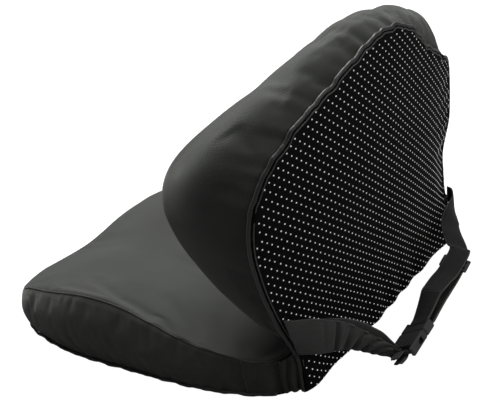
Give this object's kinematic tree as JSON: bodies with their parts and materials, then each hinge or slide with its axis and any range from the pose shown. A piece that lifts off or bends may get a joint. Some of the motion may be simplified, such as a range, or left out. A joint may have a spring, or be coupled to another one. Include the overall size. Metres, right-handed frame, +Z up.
{
  "type": "two-part seat and lumbar support cushion",
  "caption": "Contoured seat pad and high-backed lumbar pad in charcoal knit covers, joined by a fabric hinge, with a buckled fixing strap behind.",
  "frame": {"origin": "middle of the hinge line between the two cushions, on the plane the seat cushion rests on", "axes": "+Z up; +X across the seat towards the side with the gathered elastic strap end; -Y towards the sitter's knees, so +Y points out of the back cushion's rear panel"},
  "size_m": [0.5028, 0.5299, 0.3238],
  "materials": {
    "foam": "open-cell foam, hidden",
    "cover_knit": "charcoal stretch knit, matte with a soft sheen",
    "grip_fabric": "black fabric with raised pale grip dots",
    "piping": "dark piping cord with a slight gloss",
    "webbing": "black woven webbing, matte",
    "elastic": "gathered dark elastic fabric",
    "black_plastic": "black moulded plastic, satin",
    "zip_tape": "black zip tape, matte",
    "zip_metal": "dark painted metal, satin"
  },
  "bodies": {
    "seat": {"seat_foam_core": "foam", "seat_top_cover": "cover_knit", "seat_side_band": "cover_knit", "seat_base_panel": "grip_fabric", "seat_piping": "piping", "seat_zip_tape": "zip_tape", "hinge_strip": "grip_fabric"},
    "back": {"back_foam_core": "foam", "back_front_cover": "cover_knit", "back_rear_panel": "grip_fabric", "back_piping": "piping", "back_zip_tape": "zip_tape", "strap_near_root": "elastic", "strap_far_root": "webbing"},
    "strap": {"strap_near_elastic": "elastic", "buckle_socket": "black_plastic", "strap_webbing_outer": "webbing", "strap_webbing_return": "webbing"},
    "plug": {"buckle_plug": "black_plastic", "strap_plug_loop": "webbing"},
    "arm_upper": {"buckle_arm_upper": "black_plastic"},
    "arm_lower": {"buckle_arm_lower": "black_plastic"},
    "adjuster": {"tri_glide": "black_plastic"},
    "seat_zip": {"seat_zip_slider": "zip_metal"},
    "back_zip": {"back_zip_slider": "zip_metal"}
  },
  "joints": [
    {"name": "back_fold", "type": "hinge", "parent": "seat", "child": "back", "pos_m": [0, 0, 0.004], "axis": [1, 0, 0], "range_deg": [-84, 6], "deforming": ["hinge_strip"]},
    {"name": "strap_swing", "type": "hinge", "parent": "back", "child": "strap", "pos_m": [0, 0, 0.06], "axis": [1, 0, 0], "range_deg": [-12, 38]},
    {"name": "buckle_release", "type": "slide", "parent": "strap", "child": "plug", "axis": [-0.996, -0.0896, 0], "range_m": [0, 0.024]},
    {"name": "arm_upper_flex", "type": "hinge", "parent": "plug", "child": "arm_upper", "pos_m": [0.07364, 0.07896, 0.03541], "axis": [-0.045, 0.4995, -0.8652], "range_deg": [0, 6], "stiffness_Nm_per_rad": 0.2},
    {"name": "arm_lower_flex", "type": "hinge", "parent": "plug", "child": "arm_lower", "pos_m": [0.075, 0.06379, 0.02659], "axis": [-0.045, 0.4995, -0.8652], "range_deg": [-6, 0], "stiffness_Nm_per_rad": 0.2},
    {"name": "adjuster_slide", "type": "slide", "parent": "strap", "child": "adjuster", "axis": [-0.9917, -0.119, 0.0496], "range_m": [-0.012, 0.006]},
    {"name": "seat_zip_slide", "type": "slide", "parent": "seat", "child": "seat_zip", "axis": [-1, 0, 0], "range_m": [0, 0.205]},
    {"name": "back_zip_slide", "type": "slide", "parent": "back", "child": "back_zip", "axis": [-0.0535, 0.1137, 0.9921], "range_m": [0, 0.06]}
  ]
}
